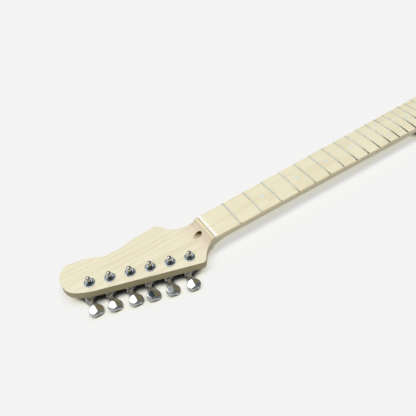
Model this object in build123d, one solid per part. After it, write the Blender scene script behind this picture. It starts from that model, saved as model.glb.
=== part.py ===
from build123d import *
import os
from math import asin, atan2, cos, degrees, pi, radians, sin, sqrt, tan

# Frame: X runs from the heel to the headstock tip, Y to the tuner side, Z out of the fretboard.
# The origin is the centre of the four heel screws, on the flat back of the heel.

# Scale and fretboard
SCALE_LENGTH = 648.0
FRET_COUNT = 22
NUT_X = 425.0
HEEL_END_X = -38.0
BOARD_PAST_LAST_FRET = 7.5
NUT_HALF_WIDTH = 21.0
TWELFTH_HALF_WIDTH = 25.7
BOARD_RADIUS = 300.0
BOARD_THICKNESS = 6.0
HEEL_DEPTH = 19.0
BOARD_LIP = 7.0

# Back of the neck
NECK_DEPTH_NUT = 14.5
NECK_DEPTH_HEEL = 17.0
BACK_FULLNESS = 2.3
HEAD_FULLNESS = 6.0
HEEL_BLOCK_END_X = 32.0
HEEL_SWOOP_RADIUS = 30.0
HEEL_CORNER_RADIUS = 5.0
HEEL_SCREW_SPACING_X = 50.8
HEEL_SCREW_SPACING_Y = 38.1
HEEL_PILOT_RADIUS = 1.6
HEEL_PILOT_DEPTH = 16.0

# Headstock
FACE_DROP = 8.5
HEAD_THICKNESS = 13.0
HEAD_EDGE_RADIUS = 2.0
HEAD_START = 7.0
BACK_BLEND_LENGTH = 20.0
SCOOP_LENGTH = 18.0

# Tuner row
TUNER_COUNT = 6
ROW_START_X = 43.8
ROW_START_Y = 22.6
ROW_PITCH = 25.3
ROW_ANGLE = 18.2
ROW_TO_EDGE = 13.5
SHAFT_TURNS = (10.0, 8.0, 9.5, 15.5, 15.0, 18.5)

# Nut
NUT_THICKNESS = 3.4
NUT_SEAT_DEPTH = 3.5
NUT_ABOVE_BOARD = 2.0
NUT_STRING_SPREAD = 35.0
NUT_SLOT_RADIUS_BASS = 0.62
NUT_SLOT_RADIUS_TREBLE = 0.26

# Frets
FRET_CROWN_WIDTH = 2.6
FRET_CROWN_HEIGHT = 1.1
FRET_TANG_WIDTH = 0.55
FRET_TANG_DEPTH = 2.2
FRET_SLOT_CLEARANCE = 0.02
FRET_END_SETBACK = 0.3

# Position markers
DOT_RADIUS = 3.0
DOT_DEPTH = 1.5
DOUBLE_DOT_OFFSET = 14.0
SIDE_DOT_RADIUS = 1.0
SIDE_DOT_DEPTH = 2.0
SIDE_DOT_DROP = 3.0
DOUBLE_SIDE_DOT_SPACING = 8.0
INLAY_CLEARANCE = 0.02
SINGLE_DOTS = (3, 5, 7, 9, 15, 17, 19, 21)
DOUBLE_DOT = 12

# Truss rod
ROD_RADIUS = 2.5
ROD_AXIS_DEPTH = 4.4
ROD_START_X = -18.0
ROD_NUT_BACK = 18.0
ROD_NUT_LENGTH = 16.0
ROD_NUT_RADIUS = 3.9
ROD_SOCKET_AF = 5.0
ROD_SOCKET_DEPTH = 8.0
ROD_BAR_WIDTH = 6.0
ROD_BAR_THICKNESS = 2.6
ROD_BLOCK_LENGTH = 12.0
ROD_BLOCK_TOP_GAP = 0.8
ROD_CHANNEL_CLEARANCE = 0.1
ROD_RUNNING_CLEARANCE = 0.05
ACCESS_RADIUS = 4.2
ACCESS_RISE_ANGLE = 17.5
ACCESS_BEND = 5.0

# Worm and wheel
GEAR_MODULE = 0.8
GEAR_TEETH = 14
WORM_PITCH_RADIUS = 2.8
GEAR_ADDENDUM = 0.6
GEAR_DEDENDUM = 0.82
GEAR_FACE = 4.0
GAP_ROOT_WIDTH = 0.95
GAP_TIP_WIDTH = 2.04
THREAD_ROOT_WIDTH = 1.32
THREAD_TIP_WIDTH = 0.45
THREAD_LENGTH = 8.2

# Tuner housing
SHAFT_DROP = 5.5
HOUSING_DEPTH = 10.4
HOUSING_ROOF = 1.4
HOUSING_WALL = 1.9
GEAR_ROOM = 0.45
COVER_THICKNESS = 1.0
COVER_LEDGE = 0.9
SLEEVE_RADIUS = 4.9
SLEEVE_BORE_RADIUS = 4.0
SLEEVE_LENGTH = 9.0
HEAD_HOLE_RADIUS = 5.0
COLLAR_END = 11.5
COLLAR_WALL = 1.2
BODY_END = 9.5
LUG_REACH = 2.7
LUG_RADIUS = 2.8
LUG_THICKNESS = 2.2
FIT = 0.05

# Tuner post
POST_RADIUS = 3.0
POST_ABOVE_FACE = 10.0
POST_WAIST_RADIUS = 2.3
POST_CAP = 1.3
POST_WAIST_LENGTH = 3.6
STRING_HOLE_RADIUS = 0.9
POST_SHOULDER_RADIUS = 3.4
POST_TENON = 3.2
GEAR_SCREW_RADIUS = 1.0
GEAR_SCREW_LENGTH = 3.8
GEAR_SCREW_HEAD_RADIUS = 2.4
GEAR_SCREW_HEAD = 1.1
HOLE_TURN = 60.0

# Face bushing and washer
WASHER_RADIUS = 7.0
WASHER_THICKNESS = 0.8
HEX_AF = 10.0
HEX_HEIGHT = 3.2
BARREL_LENGTH = 8.0

# Shaft, button and screws
SHAFT_RADIUS = 2.0
SHAFT_TENON = 2.8
SHAFT_COLLAR_RADIUS = 2.6
SHAFT_COLLAR_LENGTH = 1.0
REAR_JOURNAL_LENGTH = 1.3
BUSH_FLANGE_RADIUS = 3.5
BUTTON_GAP = 0.5
TENON_LENGTH = 9.0
BUTTON_START = 18.8
BUTTON_LENGTH = 16.2
BUTTON_HALF_WIDTH = 9.0
BUTTON_NECK_HALF_WIDTH = 4.2
BUTTON_END_HALF_WIDTH = 5.4
BUTTON_SHOULDER = 5.4
BUTTON_OUTER_SHOULDER = 4.8
BUTTON_CORNER_RADIUS = 2.2
BUTTON_RIDGE_HALF = 3.7
BUTTON_RIM_HALF = 1.7
BUTTON_END_HALF = 1.9
BUTTON_BEVEL = 2.6
BUTTON_COLLAR_RADIUS = 3.3
BUTTON_COLLAR_LENGTH = 2.4
BUTTON_SCREW_RADIUS = 0.8
BUTTON_SCREW_LENGTH = 6.0
BUTTON_SCREW_HEAD_RADIUS = 1.4
BUTTON_SCREW_HEAD = 1.0
BUTTON_TURNS = (-4.0, -18.0, -20.0, -14.0, -19.0, -9.0)
MOUNT_SCREW_RADIUS = 1.25
MOUNT_SCREW_LENGTH = 9.0
MOUNT_HEAD_RADIUS = 2.3
MOUNT_HEAD = 1.3

# Heights and places that follow from the sizes above
BOARD_TOP_Z = HEEL_DEPTH + BOARD_THICKNESS
CROWN_CENTRE_Z = BOARD_TOP_Z - BOARD_RADIUS
FACE_Z = BOARD_TOP_Z - FACE_DROP
HEAD_BACK_Z = FACE_Z - HEAD_THICKNESS
ROD_AXIS_Z = HEEL_DEPTH - ROD_AXIS_DEPTH
BOARD_END_X = NUT_X - SCALE_LENGTH * (1 - 2 ** (-FRET_COUNT / 12)) - BOARD_PAST_LAST_FRET
LIP_END_X = NUT_X + BOARD_LIP
TAPER = (TWELFTH_HALF_WIDTH - NUT_HALF_WIDTH) / (SCALE_LENGTH / 2)
WHEEL_RADIUS = GEAR_MODULE * GEAR_TEETH / 2
WORM_OFFSET = WHEEL_RADIUS + WORM_PITCH_RADIUS
WORM_LEAD = GEAR_MODULE * pi
WORM_LEAD_ANGLE = degrees(atan2(WORM_LEAD, 2 * pi * WORM_PITCH_RADIUS))
WHEEL_TIP_RADIUS = WHEEL_RADIUS + GEAR_ADDENDUM
WORM_TIP_RADIUS = WORM_PITCH_RADIUS + GEAR_ADDENDUM
CAVITY_RADIUS = WHEEL_TIP_RADIUS + GEAR_ROOM
WORM_BORE_RADIUS = WORM_TIP_RADIUS + GEAR_ROOM
WORM_ROOM_HALF = (THREAD_LENGTH + THREAD_ROOT_WIDTH) / 2 + 0.2 + SHAFT_COLLAR_LENGTH
FACE_LEVEL = HEAD_THICKNESS
LUG_OFFSET = CAVITY_RADIUS + HOUSING_WALL + LUG_REACH


def half_width(x):
    """Half the neck's width at x, tapering in a straight line from the heel to the nut."""
    return NUT_HALF_WIDTH + TAPER * (NUT_X - x)


def fret_x(number):
    """Place of a fret along X from the equal-temperament rule."""
    return NUT_X - SCALE_LENGTH * (1 - 2 ** (-number / 12))


def dot_x(number):
    """Place halfway between a fret and the one before it."""
    return (fret_x(number) + fret_x(number - 1)) / 2


def row_point(post, along, across):
    """Point set off from a post: along the row to the tip, and across it to the tuner side."""
    step = post * ROW_PITCH + along
    turn = radians(ROW_ANGLE)
    x = NUT_X + ROW_START_X + step * cos(turn) + across * sin(turn)
    y = ROW_START_Y - step * sin(turn) + across * cos(turn)
    return (x, y)


def shaft_heading(post):
    """Angle of a tuner's shaft from X: square to the row, then swung by the tuner's own turn."""
    return 90 - ROW_ANGLE + SHAFT_TURNS[post % len(SHAFT_TURNS)]


def tuner_place(post):
    """Place of one tuner: the post axis on the headstock's back, local X outward along the shaft."""
    x, y = row_point(post, 0, 0)
    return Pos(x, y, HEAD_BACK_Z) * Rot(0, 0, shaft_heading(post))


def turned(points):
    """Round body from (radius, height) points turned about Z."""
    outline = Polyline(*[(r, 0, z) for r, z in points], close=True)
    return revolve(make_face(outline), axis=Axis.Z)


def rod_x(radius, start, end, y=0.0, z=0.0):
    """Round bar along X from start to end."""
    bar = Cylinder(radius, end - start)
    return Pos((start + end) / 2, y, z) * Rot(0, 90, 0) * bar


def rod_z(radius, low, high, x=0.0, y=0.0):
    """Round bar along Z from low to high."""
    return Pos(x, y, (low + high) / 2) * Cylinder(radius, high - low)


def block(x0, x1, y0, y1, z0, z1):
    """Box between two corners."""
    return Pos((x0 + x1) / 2, (y0 + y1) / 2, (z0 + z1) / 2) * Box(x1 - x0, y1 - y0, z1 - z0)


def crown_ring(x0, x1, low, high, reach):
    """Strip bent over the board's radius, between two heights measured from the board's top."""
    r0 = BOARD_RADIUS + low
    r1 = BOARD_RADIUS + high
    outline = Polyline((x0, 0, r0), (x1, 0, r0), (x1, 0, r1), (x0, 0, r1), close=True)
    swing = degrees(asin(reach / BOARD_RADIUS))
    strip = revolve(Rot(swing, 0, 0) * make_face(outline), axis=Axis.X, revolution_arc=-2 * swing)
    return Pos(0, 0, CROWN_CENTRE_Z) * strip


def crown_solid():
    """Long cylinder whose top is the board's crowned surface."""
    return rod_x(BOARD_RADIUS, BOARD_END_X - 10, NUT_X + 60, 0, CROWN_CENTRE_Z)


def back_section(x, depth, fullness):
    """Cross-section of the neck below the board, flat on top and rounded below."""
    reach = half_width(x)
    points = []
    for step in range(1, 8):
        turn = pi * step / 8
        side = 1 if cos(turn) >= 0 else -1
        y = side * reach * abs(cos(turn)) ** (2 / fullness)
        z = HEEL_DEPTH - depth * sin(turn) ** (2 / fullness)
        points.append((x, y, z))
    left = (x, reach, HEEL_DEPTH)
    right = (x, -reach, HEEL_DEPTH)
    bowl = Spline(left, *points, right, tangents=((0, 0, -1), (0, 0, 1)))
    return make_face([Line(right, left), bowl])


def neck_shaft():
    """Playing length of the neck, from inside the heel to the start of the headstock."""
    blend_x = NUT_X - BACK_BLEND_LENGTH + HEAD_START
    start = back_section(HEEL_END_X + 10, NECK_DEPTH_HEEL, BACK_FULLNESS)
    middle = back_section(blend_x, NECK_DEPTH_NUT, BACK_FULLNESS)
    end = back_section(NUT_X + HEAD_START, HEEL_DEPTH - HEAD_BACK_Z, HEAD_FULLNESS)
    return loft([start, middle]) + loft([middle, end])


def heel_block():
    """Square heel that sits in the body's pocket, with a hollowed end where the neck begins."""
    swoop = HEEL_SWOOP_RADIUS
    end = HEEL_BLOCK_END_X
    top_x = end + sqrt(swoop ** 2 - (swoop - HEEL_DEPTH) ** 2)
    top = (top_x, 0, HEEL_DEPTH)
    foot = (end, 0, 0)
    turn = radians(45) * HEEL_DEPTH / swoop
    centre_z = swoop
    mid = (end + swoop * sin(turn), 0, centre_z - swoop * cos(turn))
    corner = (HEEL_END_X, 0, HEEL_DEPTH)
    back = (HEEL_END_X, 0, 0)
    side = make_face([Line(corner, back), Line(back, foot), ThreePointArc(foot, mid, top), Line(top, corner)])
    blank = extrude(side, half_width(HEEL_END_X) + 5, both=True)
    w0 = half_width(HEEL_END_X)
    w1 = half_width(top_x)
    plan = make_face(Polyline((HEEL_END_X, w0), (HEEL_END_X, -w0), (top_x, -w1), (top_x, w1), close=True))
    column = extrude(plan, HEEL_DEPTH)
    ends = [e for e in column.edges().filter_by(Axis.Z) if e.center().X < HEEL_END_X + 1]
    return blank & fillet(ends, HEEL_CORNER_RADIUS)


def head_outline():
    """Outline of the headstock, each point set off from the post beside it."""
    start_x = NUT_X + HEAD_START
    reach = half_width(start_x)
    row = Vector(*row_point(1, 0, 0)) - Vector(*row_point(0, 0, 0))
    flare_end = row_point(0, -13.0, ROW_TO_EDGE)
    edge_end = row_point(5, -6.0, ROW_TO_EDGE)
    flare = Spline(
        (start_x, reach),
        row_point(0, -24.6, -4.2),
        row_point(0, -20.4, 6.0),
        row_point(0, -17.6, 11.6),
        flare_end,
        tangents=((1, 0.1), row),
    )
    tip_points = [(9, 12.2), (22.6, 8.1), (31.9, -1.2), (35.4, -14.0), (33.6, -25.0), (29.0, -32.0)]
    tip_end = row_point(5, 22.0, -35.8)
    tip = Spline(
        edge_end,
        *[row_point(5, a, b) for a, b in tip_points],
        tip_end,
        tangents=(row, -row),
    )
    treble = Spline(
        tip_end,
        row_point(5, 3.6, -37.9),
        row_point(5, -9.0, -36.6),
        row_point(4, 7.0, -34.8),
        row_point(4, -8.0, -38.0),
        row_point(3, 3.0, -42.4),
        row_point(3, -7.0, -48.8),
        row_point(2, 5.0, -53.9),
        row_point(2, -11.0, -60.8),
        row_point(1, 7.0, -62.6),
        row_point(1, -3.0, -56.6),
        row_point(0, 10.0, -50.0),
        row_point(0, -5.0, -49.6),
        (start_x, -reach),
        tangents=(-row, (-1, 0.1)),
    )
    edges = [flare, Line(flare_end, edge_end), tip, treble, Line((start_x, -reach), (start_x, reach))]
    return make_face(edges)


def head_plate():
    """Headstock blank at full height, with its back edges rounded."""
    plate = Pos(0, 0, HEAD_BACK_Z) * extrude(head_outline(), HEEL_DEPTH - HEAD_BACK_Z)
    low = [e for e in plate.edges() if abs(e.center().Z - HEAD_BACK_Z) < 0.01]
    rounded = [e for e in low if e.center().X > NUT_X + HEAD_START + 0.5]
    return fillet(rounded, HEAD_EDGE_RADIUS)


def face_cutter():
    """Room above the headstock's face, with the hollow that rises to the board's end."""
    rise = BOARD_TOP_Z - FACE_Z
    radius = (SCOOP_LENGTH ** 2 + rise ** 2) / (2 * rise)
    foot_x = LIP_END_X + SCOOP_LENGTH
    turn = asin(SCOOP_LENGTH / radius) / 2
    lip = (LIP_END_X, 0, BOARD_TOP_Z)
    mid = (foot_x - radius * sin(turn), 0, FACE_Z + radius * (1 - cos(turn)))
    foot = (foot_x, 0, FACE_Z)
    far_x = NUT_X + ROW_START_X + TUNER_COUNT * ROW_PITCH + 60
    far = (far_x, 0, FACE_Z)
    high = (far_x, 0, BOARD_TOP_Z + 5)
    near = (LIP_END_X, 0, BOARD_TOP_Z + 5)
    edges = [ThreePointArc(lip, mid, foot), Line(foot, far), Line(far, high), Line(high, near), Line(near, lip)]
    return extrude(make_face(edges), 150, both=True)


def truss_access():
    """Round access hole at the headstock, level at the adjusting nut and then rising to the face."""
    bend_x = NUT_X + ACCESS_BEND
    level = rod_x(ACCESS_RADIUS, NUT_X - ROD_NUT_BACK - 1, bend_x + 2, 0, ROD_AXIS_Z)
    rising = Pos(bend_x, 0, ROD_AXIS_Z) * Rot(0, -ACCESS_RISE_ANGLE, 0) * rod_x(ACCESS_RADIUS, -3, 40)
    return level + rising


def truss_channel():
    """Slot under the board that holds the truss rod."""
    half = ROD_BAR_WIDTH / 2 + ROD_CHANNEL_CLEARANCE
    floor = ROD_AXIS_Z - ROD_NUT_RADIUS + 0.4 - ROD_BAR_THICKNESS
    end = NUT_X - ROD_NUT_BACK
    return block(ROD_START_X - 0.2, end, -half, half, floor, HEEL_DEPTH)


def make_neck():
    """Maple neck in one piece with its headstock, cut for the rod, the tuners and the heel screws."""
    blank = neck_shaft() + heel_block() + head_plate()
    cuts = [face_cutter(), truss_access(), truss_channel()]
    for post in range(TUNER_COUNT):
        place = tuner_place(post)
        cuts.append(place * rod_z(HEAD_HOLE_RADIUS, -1, HEAD_THICKNESS + 1))
        cuts.append(place * rod_z(MOUNT_SCREW_RADIUS + INLAY_CLEARANCE, -1, MOUNT_SCREW_LENGTH, -LUG_OFFSET))
    for sx in (-1, 1):
        for sy in (-1, 1):
            x = sx * HEEL_SCREW_SPACING_X / 2
            y = sy * HEEL_SCREW_SPACING_Y / 2
            cuts.append(rod_z(HEEL_PILOT_RADIUS, -1, HEEL_PILOT_DEPTH, x, y))
    return blank - cuts


def dot_places():
    """Centres of the position dots: one per marked fret, two at the octave."""
    places = [(dot_x(number), 0.0) for number in SINGLE_DOTS]
    places.append((dot_x(DOUBLE_DOT), DOUBLE_DOT_OFFSET))
    places.append((dot_x(DOUBLE_DOT), -DOUBLE_DOT_OFFSET))
    return places


def side_dot_places():
    """X places of the side dots: one per marked fret, two at the octave."""
    places = [dot_x(number) for number in SINGLE_DOTS]
    places.append(dot_x(DOUBLE_DOT) - DOUBLE_SIDE_DOT_SPACING / 2)
    places.append(dot_x(DOUBLE_DOT) + DOUBLE_SIDE_DOT_SPACING / 2)
    return places


def make_board():
    """Crowned maple fretboard with its slots, nut seat and inlay pockets."""
    end_x = LIP_END_X + SCOOP_LENGTH
    w0 = half_width(BOARD_END_X)
    w1 = half_width(end_x)
    plan = make_face(Polyline((BOARD_END_X, w0), (BOARD_END_X, -w0), (end_x, -w1), (end_x, w1), close=True))
    slab = Pos(0, 0, HEEL_DEPTH) * extrude(plan, BOARD_THICKNESS + 1)
    board = slab & crown_solid()
    cuts = [face_cutter(), truss_access()]
    seat_z = BOARD_TOP_Z - NUT_SEAT_DEPTH
    cuts.append(block(NUT_X, NUT_X + NUT_THICKNESS, -w0, w0, seat_z, BOARD_TOP_Z + 1))
    half = FRET_TANG_WIDTH / 2 + FRET_SLOT_CLEARANCE
    for number in range(1, FRET_COUNT + 1):
        x = fret_x(number)
        cuts.append(crown_ring(x - half, x + half, -FRET_TANG_DEPTH - 0.2, 1, half_width(x) + 2))
    for x, y in dot_places():
        cuts.append(rod_z(DOT_RADIUS + INLAY_CLEARANCE, BOARD_TOP_Z - DOT_DEPTH, BOARD_TOP_Z + 1, x, y))
    for x in side_dot_places():
        cuts.append(side_dot(x, SIDE_DOT_RADIUS + INLAY_CLEARANCE, 1.0))
    return board - cuts


def side_dot(x, radius, proud):
    """Round peg across the tuner-side edge of the board."""
    outer = half_width(x) + proud
    inner = half_width(x) - SIDE_DOT_DEPTH
    peg = Cylinder(radius, outer - inner)
    return Pos(x, (outer + inner) / 2, BOARD_TOP_Z - SIDE_DOT_DROP) * Rot(90, 0, 0) * peg


def make_frets():
    """Fret wires, each a domed crown on a tang, bent to the board's radius."""
    frets = []
    half = FRET_CROWN_WIDTH / 2
    tang = FRET_TANG_WIDTH / 2
    for number in range(1, FRET_COUNT + 1):
        x = fret_x(number)
        reach = half_width(x) - FRET_END_SETBACK
        base = BOARD_RADIUS
        foot = base - FRET_TANG_DEPTH
        dome = ThreePointArc((x + half, 0, base), (x, 0, base + FRET_CROWN_HEIGHT), (x - half, 0, base))
        under = Polyline(
            (x - half, 0, base),
            (x - tang, 0, base),
            (x - tang, 0, foot),
            (x + tang, 0, foot),
            (x + tang, 0, base),
            (x + half, 0, base),
        )
        swing = degrees(asin(reach / BOARD_RADIUS))
        wire = revolve(Rot(swing, 0, 0) * make_face([dome, under]), axis=Axis.X, revolution_arc=-2 * swing)
        frets.append(Pos(0, 0, CROWN_CENTRE_Z) * wire)
    return Compound(children=frets)


def make_nut():
    """String nut with six slots that widen from the treble to the bass side."""
    seat_z = BOARD_TOP_Z - NUT_SEAT_DEPTH
    reach = half_width(NUT_X + NUT_THICKNESS)
    blank = block(NUT_X, NUT_X + NUT_THICKNESS, -reach, reach, seat_z, BOARD_TOP_Z + NUT_ABOVE_BOARD)
    nut = blank & rod_x(BOARD_RADIUS, NUT_X - 5, NUT_X + 10, 0, CROWN_CENTRE_Z + NUT_ABOVE_BOARD)
    for string in range(TUNER_COUNT):
        share = string / (TUNER_COUNT - 1)
        y = (share - 0.5) * NUT_STRING_SPREAD
        radius = NUT_SLOT_RADIUS_TREBLE + share * (NUT_SLOT_RADIUS_BASS - NUT_SLOT_RADIUS_TREBLE)
        top = CROWN_CENTRE_Z + NUT_ABOVE_BOARD + sqrt(BOARD_RADIUS ** 2 - y ** 2)
        slot = rod_x(radius, NUT_X - 1, NUT_X + NUT_THICKNESS + 1, y, top - radius)
        slot = slot + block(NUT_X - 1, NUT_X + NUT_THICKNESS + 1, y - radius, y + radius, top - radius, top + 1)
        nut = nut - slot
    return nut


def make_dots():
    """Round position markers, level with the crowned top."""
    pegs = [rod_z(DOT_RADIUS, BOARD_TOP_Z - DOT_DEPTH, BOARD_TOP_Z + 1, x, y) for x, y in dot_places()]
    crown = crown_solid()
    return Compound(children=[peg & crown for peg in pegs])


def make_side_dots():
    """Small round markers in the tuner-side edge."""
    return Compound(children=[side_dot(x, SIDE_DOT_RADIUS, 0.0) for x in side_dot_places()])


def rod_level():
    """Lower face of the rod's end blocks, on top of the flat bar."""
    return ROD_AXIS_Z - ROD_NUT_RADIUS + 0.4


def make_rod_bar():
    """Flat bar that lies in the bottom of the channel."""
    low = rod_level() - ROD_BAR_THICKNESS
    half = ROD_BAR_WIDTH / 2
    return block(ROD_START_X, NUT_X - ROD_NUT_BACK - 2, -half, half, low, rod_level())


def make_rod_blocks():
    """Two end blocks that carry the turning rod over the bar."""
    half = ROD_BAR_WIDTH / 2
    top = HEEL_DEPTH - ROD_BLOCK_TOP_GAP
    end = NUT_X - ROD_NUT_BACK - 2
    blocks = []
    for x in (ROD_START_X, end - ROD_BLOCK_LENGTH):
        body = block(x, x + ROD_BLOCK_LENGTH, -half, half, rod_level(), top)
        hole = rod_x(ROD_RADIUS + ROD_RUNNING_CLEARANCE, x - 1, x + ROD_BLOCK_LENGTH + 1, 0, ROD_AXIS_Z)
        blocks.append(body - hole)
    return Compound(children=blocks)


def make_rod():
    """Turning rod, threaded in both blocks."""
    return rod_x(ROD_RADIUS, ROD_START_X + 2, NUT_X - ROD_NUT_BACK, 0, ROD_AXIS_Z)


def make_rod_nut():
    """Adjusting nut welded to the rod's end, with a hexagon socket for the key."""
    start = NUT_X - ROD_NUT_BACK
    end = start + ROD_NUT_LENGTH
    body = rod_x(ROD_NUT_RADIUS, start, end, 0, ROD_AXIS_Z)
    socket = extrude(RegularPolygon(ROD_SOCKET_AF / 2, 6, major_radius=False), ROD_SOCKET_DEPTH)
    return body - Pos(end - ROD_SOCKET_DEPTH, 0, ROD_AXIS_Z) * Rot(0, 90, 0) * socket


def make_housing():
    """Cast tuner housing with its sleeve, gear room, worm bore and screw lug."""
    y = -WORM_OFFSET
    wall = CAVITY_RADIUS + HOUSING_WALL
    tube = WORM_BORE_RADIUS + COLLAR_WALL
    low = -HOUSING_DEPTH
    body = rod_z(wall, low, 0)
    body = body + block(-wall, BODY_END, y - tube, 0, low, 0)
    edges = [e for e in body.edges().filter_by(Axis.Z) if e.center().Y < y - tube + 1]
    body = fillet(edges, 2.5)
    body = body + rod_x(tube, 0, COLLAR_END, y, -SHAFT_DROP)
    body = body + rod_z(SLEEVE_RADIUS, -1, SLEEVE_LENGTH)
    lug = rod_z(LUG_RADIUS, -LUG_THICKNESS, 0, -LUG_OFFSET)
    body = body + lug + block(-LUG_OFFSET, 0, -LUG_RADIUS, LUG_RADIUS, -LUG_THICKNESS, 0)
    cuts = [rod_z(CAVITY_RADIUS, low - 1, -HOUSING_ROOF)]
    cuts.append(rod_z(CAVITY_RADIUS + COVER_LEDGE, low - 1, low + COVER_THICKNESS))
    cuts.append(rod_z(POST_RADIUS + FIT, -2, 1))
    cuts.append(rod_z(SLEEVE_BORE_RADIUS, 0, SLEEVE_LENGTH + 1))
    cuts.append(rod_x(WORM_BORE_RADIUS, -WORM_ROOM_HALF, COLLAR_END + 1, y, -SHAFT_DROP))
    rear = -WORM_ROOM_HALF - REAR_JOURNAL_LENGTH - 0.1
    cuts.append(rod_x(worm_root_radius() + FIT, rear, 0, y, -SHAFT_DROP))
    cuts.append(rod_z(MOUNT_SCREW_RADIUS + INLAY_CLEARANCE, -LUG_THICKNESS - 1, 1, -LUG_OFFSET))
    return body - cuts


def worm_root_radius():
    """Radius of the worm between its threads."""
    return WORM_PITCH_RADIUS - GEAR_DEDENDUM


def make_cover():
    """Round lid pressed into the bottom of the gear room."""
    radius = CAVITY_RADIUS + COVER_LEDGE - INLAY_CLEARANCE
    return rod_z(radius, -HOUSING_DEPTH, -HOUSING_DEPTH + COVER_THICKNESS)


def make_shaft_bushing():
    """Flanged bush that closes the worm bore and carries the shaft."""
    barrel = rod_x(WORM_BORE_RADIUS - INLAY_CLEARANCE, WORM_ROOM_HALF + 0.1, COLLAR_END)
    flange = rod_x(BUSH_FLANGE_RADIUS, COLLAR_END, BUTTON_START - BUTTON_GAP)
    hole = rod_x(SHAFT_RADIUS + FIT, 0, BUTTON_START)
    return Pos(0, -WORM_OFFSET, -SHAFT_DROP) * (barrel + flange - hole)


def make_face_bushing():
    """Hexagon-headed bush screwed down from the face into the sleeve."""
    seat = FACE_LEVEL + WASHER_THICKNESS
    head = Pos(0, 0, seat) * extrude(RegularPolygon(HEX_AF / 2, 6, major_radius=False), HEX_HEIGHT)
    dome = turned([(0, seat), (6.2, seat), (6.2, seat + HEX_HEIGHT - 1.2), (4.4, seat + HEX_HEIGHT), (0, seat + HEX_HEIGHT)])
    barrel = rod_z(SLEEVE_BORE_RADIUS - FIT, seat - BARREL_LENGTH, seat)
    return (head & dome) + barrel - rod_z(POST_RADIUS + FIT, 0, 40)


def make_washer():
    """Dished washer under the bush's head."""
    inner = SLEEVE_BORE_RADIUS
    low = FACE_LEVEL
    high = low + WASHER_THICKNESS
    outline = [(inner, low), (WASHER_RADIUS, low), (WASHER_RADIUS, low + 0.3), (WASHER_RADIUS - 1.2, high), (inner, high)]
    return turned(outline)


def make_post():
    """String post with a waist, a string hole, a thrust shoulder and a square tenon for the gear."""
    top = FACE_LEVEL + POST_ABOVE_FACE
    gear_top = -SHAFT_DROP + GEAR_FACE / 2
    waist_top = top - POST_CAP
    waist_low = waist_top - POST_WAIST_LENGTH
    edge = 0.35
    profile = Polyline(
        (POST_RADIUS, 0, waist_low),
        (POST_RADIUS, 0, -HOUSING_ROOF - FIT),
        (POST_SHOULDER_RADIUS, 0, -HOUSING_ROOF - FIT),
        (POST_SHOULDER_RADIUS, 0, gear_top),
        (0, 0, gear_top),
        (0, 0, top),
        (POST_RADIUS - edge, 0, top),
        (POST_RADIUS, 0, top - edge),
        (POST_RADIUS, 0, waist_top),
    )
    waist = ThreePointArc(
        (POST_RADIUS, 0, waist_top),
        (POST_WAIST_RADIUS, 0, (waist_top + waist_low) / 2),
        (POST_RADIUS, 0, waist_low),
    )
    body = revolve(make_face([profile, waist]), axis=Axis.Z)
    hole = rod_x(STRING_HOLE_RADIUS, -POST_RADIUS - 1, POST_RADIUS + 1, 0, (waist_top + waist_low) / 2)
    body = body - Rot(0, 0, HOLE_TURN) * hole
    half = POST_TENON / 2
    body = body + block(-half, half, -half, half, gear_top - GEAR_FACE + 0.1, gear_top)
    return body - rod_z(GEAR_SCREW_RADIUS + INLAY_CLEARANCE, gear_top - GEAR_FACE - 1, gear_top + 0.3)


def make_gear():
    """Worm wheel: a disc gashed by slanted gaps, with a square hole for the post."""
    depth = GEAR_ADDENDUM + GEAR_DEDENDUM
    root = WHEEL_RADIUS - GEAR_DEDENDUM
    over = 0.3
    grow = (GAP_TIP_WIDTH - GAP_ROOT_WIDTH) / 2 * (depth + over) / depth
    inner = GAP_ROOT_WIDTH / 2
    outline = Polyline(
        (root, -inner),
        (root + depth + over, -inner - grow),
        (root + depth + over, inner + grow),
        (root, inner),
        close=True,
    )
    gap = Rot(-WORM_LEAD_ANGLE, 0, 0) * extrude(make_face(outline), GEAR_FACE, both=True)
    gaps = [Rot(0, 0, -90 + 360 * i / GEAR_TEETH) * gap for i in range(GEAR_TEETH)]
    half = POST_TENON / 2 + INLAY_CLEARANCE
    square = Box(2 * half, 2 * half, 2 * GEAR_FACE)
    disc = Cylinder(WHEEL_TIP_RADIUS, GEAR_FACE) - gaps - square
    return Pos(0, 0, -SHAFT_DROP) * disc


def make_gear_screw():
    """Screw that holds the gear on the post from below."""
    seat = -SHAFT_DROP - GEAR_FACE / 2
    shank = rod_z(GEAR_SCREW_RADIUS, seat, seat + GEAR_SCREW_LENGTH)
    head = rod_z(GEAR_SCREW_HEAD_RADIUS, seat - GEAR_SCREW_HEAD, seat)
    slot = block(-3, 3, -0.3, 0.3, seat - GEAR_SCREW_HEAD - 1, seat - GEAR_SCREW_HEAD + 0.5)
    return head + shank - slot


def worm_thread():
    """One thread wound on the worm, its crest at the middle turned to the wheel."""
    helix = Edge.make_helix(WORM_LEAD, THREAD_LENGTH, WORM_PITCH_RADIUS, (0, 0, -THREAD_LENGTH / 2))
    sink = 0.1
    root = -GEAR_DEDENDUM - sink
    low = THREAD_ROOT_WIDTH / 2
    high = THREAD_TIP_WIDTH / 2
    outline = Polyline((root, -low), (GEAR_ADDENDUM, -high), (GEAR_ADDENDUM, high), (root, low), close=True)
    plane = Plane(origin=helix @ 0, x_dir=(1, 0, 0), z_dir=helix % 0)
    thread = sweep(plane * make_face(outline), path=helix, is_frenet=True)
    lead_turn = 360 * (THREAD_LENGTH / 2) / WORM_LEAD
    return Rot(0, 0, 90 - lead_turn) * thread


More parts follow.
